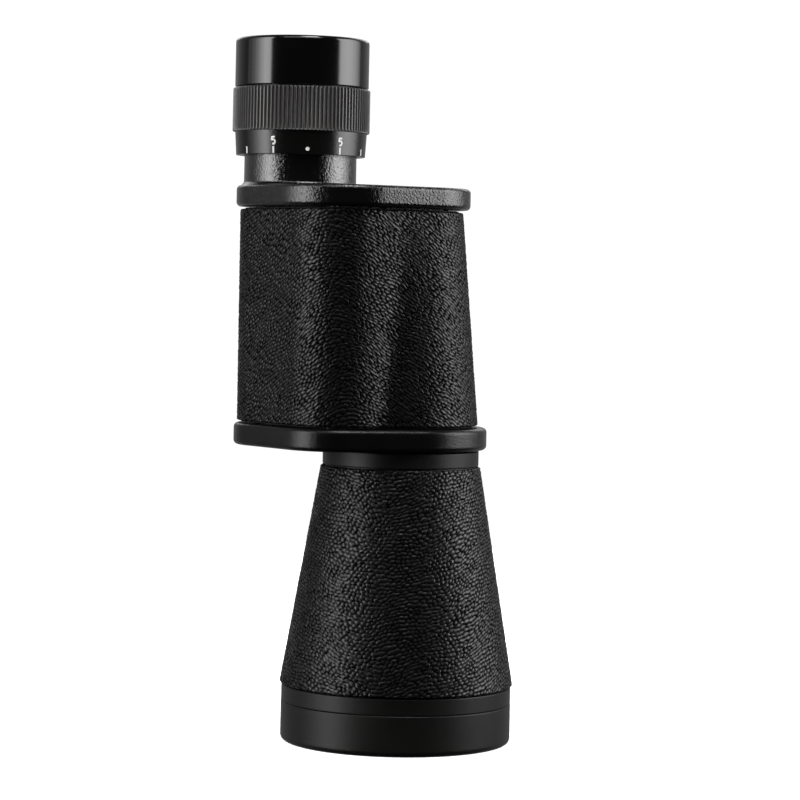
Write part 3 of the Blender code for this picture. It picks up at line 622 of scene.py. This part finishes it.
def build_leatherettes():
    table = np.random.RandomState(11).uniform(-1, 1, (211, 197, 3))
    parts = {"front": (1, 3), "back": (3, 5)}
    cache = {}

    def housing_at(level):
        key = round(level, 4)
        if key not in cache:
            cache[key] = housing_outline(level, HOUSING_COLUMNS, math.radians(110))
        return cache[key]

    def housing_grain(across, level, girth):
        return pebbles(across, level, girth, 0.46, 0.5, (1.45, 0.88), table)

    for part, quarters in parts.items():
        sheath(
            f"housing_leatherette_{part}", housing_at, LEATHER_LOW, LEATHER_HIGH,
            HOUSING_COLUMNS, quarters, housing_grain, "housing_leatherette",
        )

    angles = math.radians(90) + np.arange(CONE_COLUMNS) * 2 * math.pi / CONE_COLUMNS
    radial = np.stack([np.cos(angles), np.sin(angles)], -1)

    def cone_at(level):
        share = (level - BAND_TOP) / (CONE_HIGH - BAND_TOP)
        radius = CONE_LOW_RADIUS + (CONE_HIGH_RADIUS - CONE_LOW_RADIUS) * share
        return LENS + radial * radius, radial, 2 * math.pi * radius

    def cone_grain(across, level, girth):
        return pebbles(across, level, girth, 0.5, -0.25, (1.3, 0.92), table)

    for part, quarters in parts.items():
        sheath(
            f"objective_leatherette_{part}", cone_at, CONE_LOW, CONE_HIGH,
            CONE_COLUMNS, quarters, cone_grain, "objective_leatherette",
        )


# ---------------------------------------------------------------- covers


def cover_plate(name, radii, corner, low, high, finish, replaced):
    """A solid plate with rounded edges, before its holes are cut."""
    steps = 6
    levels = [(PLATE_EDGE + 0.25, low)]
    for k in range(steps + 1):
        angle = math.pi / 2 * k / steps
        levels.append((PLATE_EDGE * (1 - math.sin(angle)), low + PLATE_EDGE * (1 - math.cos(angle))))
    levels.append((0.0, low + PLATE_EDGE + 0.2))
    levels.append((0.0, high - PLATE_EDGE - 0.2))
    for k in range(steps + 1):
        angle = math.pi / 2 * k / steps
        levels.append((PLATE_EDGE * (1 - math.cos(angle)), high - PLATE_EDGE * (1 - math.sin(angle))))
    levels.append((PLATE_EDGE + 0.25, high))
    rings = [hull_outline(radii, corner, inset) for inset, _ in levels]
    count = len(rings[0])
    lines = [np.column_stack([ring, np.full(count, z)]) for ring, (_, z) in zip(rings, levels)]
    faces = []
    for i in range(len(rings) - 1):
        faces += ring_faces(i * count, (i + 1) * count, count)
    top = (len(rings) - 1) * count
    faces.append(tuple(range(count))[::-1])
    faces.append(tuple(range(top, top + count)))
    return add_piece(name, np.concatenate(lines), faces, finish, "monocular_body", replaced)


def build_covers():
    """Both cover plates, the neck that stands on the upper one, and their screws."""
    tops = [f"top_cover_screw_{i}" for i in (1, 2, 3)]
    bottoms = [f"bottom_cover_screw_{i}" for i in (1, 2, 3)]
    bottom = cover_plate(
        "bottom_cover_plate", BOTTOM_COVER_RADII, CORNER, BOTTOM_LOW, BOTTOM_HIGH,
        DULL_PAINT, ["bottom_cover"],
    )
    cutters = [
        bar("bore", LENS, 17.3, BOTTOM_LOW - 1, BOTTOM_HIGH - 1.3, 96),
        bar("light", LENS, 13.9, BOTTOM_LOW, BOTTOM_HIGH + 1, 96),
    ]
    for node in bottoms:
        place = axis_of(node)
        cutters.append(bar(node + "_well", place, SCREW_WELL, BOTTOM_LOW - 1, BOTTOM_LOW + WELL_DEPTH))
        cutters.append(bar(node + "_hole", place, SCREW_HOLE, BOTTOM_LOW, BOTTOM_HIGH + 1))
    carve(bottom, cutters)

    top = cover_plate(
        "top_cover_plate", TOP_COVER_RADII, TOP_CORNER, TOP_LOW, TOP_HIGH, COVER_PAINT, ["top_cover"]
    )
    cutters = [
        bar("recess", EYE, 14.3, TOP_LOW + 1.5, TOP_HIGH + 1, 96),
        bar("light", EYE, 11.5, TOP_LOW - 1, TOP_HIGH, 96),
    ]
    for node in tops:
        place = axis_of(node)
        cutters.append(bar(node + "_well", place, SCREW_WELL, TOP_HIGH - WELL_DEPTH, TOP_HIGH + 1))
        cutters.append(bar(node + "_hole", place, SCREW_HOLE, TOP_LOW - 1, TOP_HIGH))
    carve(top, cutters)

    build_neck()
    for node in tops + bottoms:
        build_screw(node, node in tops)


def build_neck():
    """The eyepiece's neck: it sits in the top cover's recess and swells into the cover with a fillet."""
    foot, plate = TOP_LOW + 1.55, TOP_HIGH - 0.05
    neck = [
        (13.2, foot, 0.0), (14.28, foot, 0.0), (14.28, plate, 0.0), (15.2, plate, 0.0),
        (14.4, TOP_HIGH + 0.75, 0.8), (NECK_RADIUS, NECK_TOP, 0.3), (NECK_BORE, NECK_TOP, 0.3),
        (NECK_BORE, NECK_SHOULDER, 0.0), (13.2, NECK_SHOULDER - 0.2, 0.0),
    ]
    revolve("eyepiece_neck", rounded(neck), EYE, 192, PAINT, "monocular_body", ["top_cover"])


def build_screw(node, head_up):
    """A slotted cheese-head screw in place of the CAD one."""
    low, high = heights_of(node)
    sign = 1 if head_up else -1
    face, tail = (high, low) if head_up else (low, high)
    seat = face - sign * SCREW_HEAD_HEIGHT
    corners = [
        (0.0, face), (SCREW_HEAD - 0.5, face), (SCREW_HEAD - 0.22, face - sign * 0.06),
        (SCREW_HEAD, face - sign * 0.3), (SCREW_HEAD, seat), (SCREW_SHANK, seat),
        (SCREW_SHANK, tail + sign * 0.4), (SCREW_SHANK - 0.4, tail), (0.0, tail),
    ]
    place = axis_of(node)
    screw = revolve(
        node + "_detail", corners, place, 64, SCREW_STEEL, "monocular_body", [node]
    )
    turn = 0.9 + 1.7 * int(node[-1])
    along = np.array([math.cos(turn), math.sin(turn)])
    across = np.array([-along[1], along[0]]) * 0.24
    along *= 3
    slot = [place + along + across, place - along + across, place - along - across, place + along - across]
    carve(screw, [prism("slot", slot, *sorted((face - sign * 0.6, face + sign * 1.0)))])


# ---------------------------------------------------------------- objective end


def build_objective():
    """The objective tube, the front ring that the monocular stands on, and the two lenses."""
    seam = RING_TOP + 0.1
    tube = [
        (26.5, seam, 0.1), (BAND_RADIUS, seam, 0.12), (BAND_RADIUS, BAND_TOP, 0.3), (28.4, BAND_TOP, 0.1),
        (19.25, 70.3, 0.1), (19.9, 70.3, 0.25), (19.9, 74.2, 0.3), (17.0, 74.2, 0.1), (17.0, 78.5, 0.2),
        (15.0, 78.5, 0.2), (15.6, 70.0, 0.2), (25.1, 22.8, 0.2), (24.6, 20.8, 0.1), (26.5, 20.8, 0.1),
    ]
    revolve(
        "objective_tube_body", rounded(tube), LENS, 256, TUBE,
        "monocular_body", ["objective_tube"],
    )
    ring = [
        (25.2, 1.5, 0.5), (RING_BORE, 0.0, 0.3), (RING_RADIUS, 0.0, 2.0), (RING_RADIUS, RING_TOP, 0.3),
        (RING_BORE, RING_TOP, 0.1), (RING_BORE, 11.0, 0.2), (25.2, 11.0, 0.2),
    ]
    revolve(
        "front_ring", rounded(ring, 8), LENS, 256, TUBE,
        "monocular_body", ["objective_front_ring"],
    )
    crown, flint = ((10.2, 118.0, -1), (17.6, 84.0, 1)), ((17.85, 84.0, 1), (20.85, 260.0, 1))
    build_lens("objective_crown_lens", crown, 25.3, LENS, OBJECTIVE_GLASS, "monocular_body")
    build_lens("objective_flint_lens", flint, 25.3, LENS, OBJECTIVE_GLASS, "monocular_body")


def build_lens(node, curves, radius, axis, finish, body):
    """A lens with finely stepped surfaces; each curve is (vertex height, radius of curvature, bulge)."""
    profile = []
    for vertex, curvature, bulge in curves:
        surface = [(0.0, vertex)]
        for i in range(1, 17):
            r = radius * i / 16
            surface.append((r, vertex - bulge * (curvature - math.sqrt(curvature**2 - r**2))))
        profile += surface if not profile else surface[::-1]
    revolve(node + "_surface", profile, axis, 128, finish, body, [node])


# ---------------------------------------------------------------- eyepiece


def build_eyecup():
    foot, seat, floor_low, floor_high = KNURL_HIGH + GAP, 169.3, 173.1, 174.2
    cup = [
        (14.95, foot, 0.1), (CUP_RADIUS, foot, 0.35), (CUP_RADIUS, CUP_TOP, 2.0), (14.75, CUP_TOP, 0.5),
        (14.1, CUP_TOP - 0.7, 0.3), (9.6, floor_high, 0.3), (9.6, floor_low, 0.1), (12.15, floor_low, 0.1),
        (12.15, seat, 0.1), (14.95, seat, 0.1),
    ]
    revolve("eyecup_moulding", rounded(cup, 10), EYE, 192, GLOSS, "focus_ring", ["eyecup"])


def build_dioptre_ring():
    """The dioptre ring: a band of cut ribs over a plain, slightly flared skirt."""

    def knurled(r, z, angle):
        wave = (1 - np.cos(angle * KNURL_RIBS)) / 2
        groove = np.clip((wave - 0.12) / 0.88, 0.0, 1.0) ** 0.9
        near = np.minimum(z - KNURL_LOW, KNURL_HIGH - z)
        fade = np.clip((near - 0.05) / 0.35, 0.0, 1.0)
        band = (r > 17.2) & (near > -0.01)
        return np.where(band, r - KNURL_DEPTH * groove * fade, r)

    web, hub, outer_hub = 164.0, 12.15, 14.6
    inner_skirt, rise = 14.75, KNURL_HIGH - KNURL_LOW - 0.9
    outside = [
        (inner_skirt, SKIRT_LOW), (16.45, SKIRT_LOW), (16.55, SKIRT_LOW + 0.1), (16.56, SKIRT_LOW + 0.3),
        (16.89, KNURL_LOW - 0.2), (16.9, KNURL_LOW), (17.25, KNURL_LOW), (17.5, KNURL_LOW + 0.12),
        (17.58, KNURL_LOW + 0.3),
    ]
    outside += [(KNURL_RADIUS, KNURL_LOW + 0.45 + rise * i / 10) for i in range(11)]
    outside += [
        (17.58, KNURL_HIGH - 0.3), (17.5, KNURL_HIGH - 0.12), (17.25, KNURL_HIGH), (outer_hub, KNURL_HIGH),
        (outer_hub, HUB_TOP), (hub, HUB_TOP), (hub, web), (inner_skirt, web),
    ]
    ring = revolve(
        "dioptre_ring_turned", outside, EYE, KNURL_RIBS * 10, KNURL,
        "focus_ring", ["dioptre_ring"], knurled,
    )
    ring.data.materials.append(SKIRT)
    for face in ring.data.polygons:
        if face.center.z < (KNURL_LOW - 0.05) * MM:
            face.material_index = 1


def wrap(outline, angle, height):
    """A closed painted mark on the skirt: a thin shell over the outline's (across, up) points."""
    flat = []
    for across, up in outline:
        z = height + up
        radius = SKIRT_LOW_RADIUS + SKIRT_RISE * (z - SKIRT_LOW) / (KNURL_LOW - SKIRT_LOW)
        flat.append((angle + across / radius, z, radius))
    points = []
    for lift in (0.035, -0.03):
        for turn, z, radius in flat:
            r = radius + lift
            points.append((EYE[0] + r * math.cos(turn), EYE[1] + r * math.sin(turn), z))
    count = len(flat)
    faces = [tuple(range(count)), tuple(range(count, 2 * count))[::-1]]
    faces += [(count + i, count + (i + 1) % count, (i + 1) % count, i) for i in range(count)]
    return points, faces


def stroke(path, width):
    """The outline of a pen stroke along a path."""
    path = [np.array(p, float) for p in path]
    left, right = [], []
    for i, here in enumerate(path):
        ahead = path[min(i + 1, len(path) - 1)] - path[max(i - 1, 0)]
        side = np.array([-ahead[1], ahead[0]]) / np.linalg.norm(ahead) * width / 2
        left.append(here + side)
        right.append(here - side)
    return left + right[::-1]


def figure_five(h):
    """A plain digit 5 of a height as one pen stroke's path, centred: its flag, its stem and its bowl."""
    w = h * 0.52
    path = [
        (w * 0.5, h * 0.46), (0.0, h * 0.46), (-w * 0.40, h * 0.46), (-w * 0.44, h * 0.24), (-w * 0.46, h * 0.04),
    ]
    for k in range(9):
        angle = math.radians(125 - 250 * k / 8)
        path.append((0.02 + w * 0.46 * math.cos(angle), -h * 0.19 + h * 0.29 * math.sin(angle)))
    return path


def build_marks():
    """The zero dot, the ticks and the two digits of the dioptre scale."""
    zero, dot_radius, division = math.radians(-72.1), 0.5, 30.5
    dot = [(dot_radius * math.cos(a), dot_radius * math.sin(a)) for a in np.arange(24) * 2 * math.pi / 24]
    tick = [(-0.23, -0.85), (0.23, -0.85), (0.23, 0.85), (-0.23, 0.85)]
    marks = [(dot, zero, SKIRT_LOW + 1.3)]
    for turn in (-2 * division, -division, division, 2 * division):
        marks.append((tick, zero + math.radians(turn), SKIRT_LOW + 1.0))
    for turn in (-division, division):
        marks.append((stroke(figure_five(1.85), 0.42), zero + math.radians(turn), SKIRT_LOW + 3.35))
    points, faces = [], []
    for outline, angle, height in marks:
        more, sides = wrap(outline, angle, height)
        base = len(points)
        points += more
        faces += [tuple(base + i for i in face) for face in sides]
    obj = new_object("dioptre_scale_marks", points, faces)
    mend(obj.data, split_big_faces, face_out)
    obj.data.materials.append(WHITE)
    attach(obj, "focus_ring")


def build_eyepiece():
    build_eyecup()
    build_dioptre_ring()
    build_marks()
    curves = ((162.85, 24.0, -1), (170.3, 32.0, 1))
    build_lens("eye_crown_lens", curves, 10.3, EYE, OCULAR_GLASS, "ocular_optics")


# ---------------------------------------------------------------- carried-over CAD nodes

KEPT = (
    (INSIDE, ("prism_housing", "light_baffle")),
    (ANODISED, ("objective_cell", "objective_retaining_ring", "field_stop", "lens_spacer")),
    (ANODISED, ("ocular_retaining_ring",)),
    (PRISM_GLASS, ("upper_prism", "lower_prism")),
    (OCULAR_GLASS, ("field_lens", "eye_flint_lens")),
    (CORK, ("upper_prism_pad", "lower_prism_pad")),
    (SPRING_STEEL, ("upper_prism_strap", "lower_prism_strap")),
    (SCREW_STEEL, ("upper_prism_strap_screw", "lower_prism_strap_screw")),
    (SCREW_STEEL, ("dioptre_grub_screw_1", "dioptre_grub_screw_2", "dioptre_grub_screw_3")),
    (BRASS, ("ocular_barrel", "travel_stop_ring")),
)


def dress_frame():
    for finish, names in KEPT:
        for name in names:
            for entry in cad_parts[name].material_slots:
                entry.material = finish


# ---------------------------------------------------------------- studio

CAMERA_BEARING = math.radians(10.0)
CAMERA_HEIGHT, CAMERA_DISTANCE = 0.118, 0.760
FLOOR_RADIUS = 550.0
FLOOR_STEPS = 96

# Tall soft strips on either side, nested so that each side fades outwards. A strip is (inner bearing, outer
# bearing, brightness), in degrees from the camera's side of the object; positive is to the camera's right.
LEFT_STRIPS = (
    (-53.0, -104.0, 0.5), (-53.0, -94.0, 0.7), (-53.0, -86.0, 1.2),
    (-53.0, -79.0, 1.6), (-54.0, -74.0, 1.6), (-55.0, -68.0, 1.6),
)
RIGHT_STRIPS = (
    (66.0, 119.0, 1.4), (67.0, 113.0, 1.5), (68.0, 106.0, 1.6), (69.0, 98.0, 1.6), (71.0, 90.0, 1.0),
)


def soft_light(name, bearing, distance, height, size, radiance, target_height=0.1):
    """An area light at a bearing, of a size in metres and a brightness, turned to the object's middle."""
    light = bpy.data.lights.new(name, "AREA")
    light.shape = "RECTANGLE"
    light.size, light.size_y = size
    light.energy = radiance * math.pi * size[0] * size[1]
    obj = bpy.data.objects.new(name, light)
    bpy.context.scene.collection.objects.link(obj)
    angle = CAMERA_BEARING + math.radians(bearing)
    obj.location = (math.sin(angle) * distance, -math.cos(angle) * distance, height)
    aim = Vector((0.0, 0.0, target_height)) - obj.location
    obj.rotation_euler = aim.to_track_quat("-Z", "Y").to_euler()


def strip(name, inner, outer, distance, radiance, low, high):
    """A tall soft light between two bearings and two heights."""
    width = 2 * distance * math.tan(math.radians(abs(outer - inner)) / 2)
    middle = (high + low) / 2
    soft_light(name, (inner + outer) / 2, distance, middle, (width, high - low), radiance, middle)


def build_lights():
    for i, (inner, outer, level) in enumerate(LEFT_STRIPS, 1):
        strip(f"left_{i}", inner, outer, 1.1 + 0.02 * i, level, -0.3, 1.1)
    for i, (inner, outer, level) in enumerate(RIGHT_STRIPS, 1):
        strip(f"right_{i}", inner, outer, 1.1 + 0.02 * i, level, 0.0, 1.1)
    soft_light("overhead", 25.0, 0.45, 1.3, (0.4, 0.45), 15.0)
    soft_light("front_top", 0.0, 0.75, 1.1, (1.2, 0.5), 2.8)
    soft_light("rear_top", 180.0, 1.1, 0.75, (1.6, 0.7), 1.2)


def build_camera():
    """A level camera, a touch rolled, that looks along its bearing at the objective's axis."""
    data = bpy.data.cameras.new("camera")
    data.lens = 133.8
    data.sensor_width = 36.0
    data.shift_y = -0.1533
    camera = bpy.data.objects.new("camera", data)
    bpy.context.scene.collection.objects.link(camera)
    right = Vector((math.cos(CAMERA_BEARING), math.sin(CAMERA_BEARING), 0.0))
    back = Vector((math.sin(CAMERA_BEARING), -math.cos(CAMERA_BEARING), 0.0))
    aside = LENS[0] * MM * math.cos(CAMERA_BEARING) - 0.00112
    place = right * aside + back * CAMERA_DISTANCE + Vector((0.0, 0.0, CAMERA_HEIGHT))
    turn = Matrix.Rotation(CAMERA_BEARING, 4, "Z") @ Matrix.Rotation(math.pi / 2, 4, "X")
    camera.matrix_world = Matrix.Translation(place) @ turn @ Matrix.Rotation(math.radians(1.21), 4, "Z")
    data.clip_start, data.clip_end = 0.01, 100.0
    bpy.context.scene.camera = camera


def build_floor():
    """A pale disc that the object stands on; it lights nothing and shows in no reflection."""
    turns = [2 * math.pi * i / FLOOR_STEPS for i in range(FLOOR_STEPS)]
    rim = [(FLOOR_RADIUS * math.cos(turn), FLOOR_RADIUS * math.sin(turn), 0.0) for turn in turns]
    floor = new_object("floor", rim, [tuple(range(FLOOR_STEPS))])
    made, nodes, links, shader = new_material("pale_floor")
    tone = ramp(nodes, links, noise(nodes, links, 3.0), [(0.3, grey(0.86)), (0.7, grey(0.9))])
    links.new(tone, shader.inputs["Base Color"])
    shader.inputs["Roughness"].default_value = 0.9
    shader.inputs["Specular IOR Level"].default_value = 0.1
    shader.inputs["Emission Color"].default_value = (1.0, 1.0, 1.0, 1.0)
    shader.inputs["Emission Strength"].default_value = 0.8
    floor.data.materials.append(made)
    floor.visible_diffuse = False
    floor.visible_glossy = False


def build_world():
    """White behind the object; for reflections it is dim in front and brighter behind."""
    world = bpy.data.worlds.new("studio")
    bpy.context.scene.world = world
    world.use_nodes = True
    nodes, links = world.node_tree.nodes, world.node_tree.links
    background = nodes["Background"]
    place = nodes.new("ShaderNodeTexCoord")
    facing = nodes.new("ShaderNodeVectorMath")
    facing.operation = "DOT_PRODUCT"
    links.new(place.outputs["Generated"], facing.inputs[0])
    facing.inputs[1].default_value = (-math.sin(CAMERA_BEARING), math.cos(CAMERA_BEARING), 0.0)
    shade = nodes.new("ShaderNodeMapRange")
    shade.inputs["From Min"].default_value = 0.0
    shade.inputs["From Max"].default_value = 0.8
    shade.inputs["To Min"].default_value = 0.012
    shade.inputs["To Max"].default_value = 0.34
    links.new(facing.outputs["Value"], shade.inputs["Value"])
    seen = nodes.new("ShaderNodeLightPath")
    mix = nodes.new("ShaderNodeMix")
    mix.data_type = "FLOAT"
    links.new(seen.outputs["Is Camera Ray"], mix.inputs["Factor"])
    links.new(shade.outputs["Result"], mix.inputs["A"])
    mix.inputs["B"].default_value = 1.05
    links.new(mix.outputs["Result"], background.inputs["Strength"])
    background.inputs["Color"].default_value = (1.0, 1.0, 1.0, 1.0)


def build_studio():
    build_camera()
    build_floor()
    build_world()
    build_lights()
    bpy.context.scene.view_settings.view_transform = "Standard"


build_leatherettes()
build_covers()
build_objective()
build_eyepiece()
dress_frame()
build_studio()
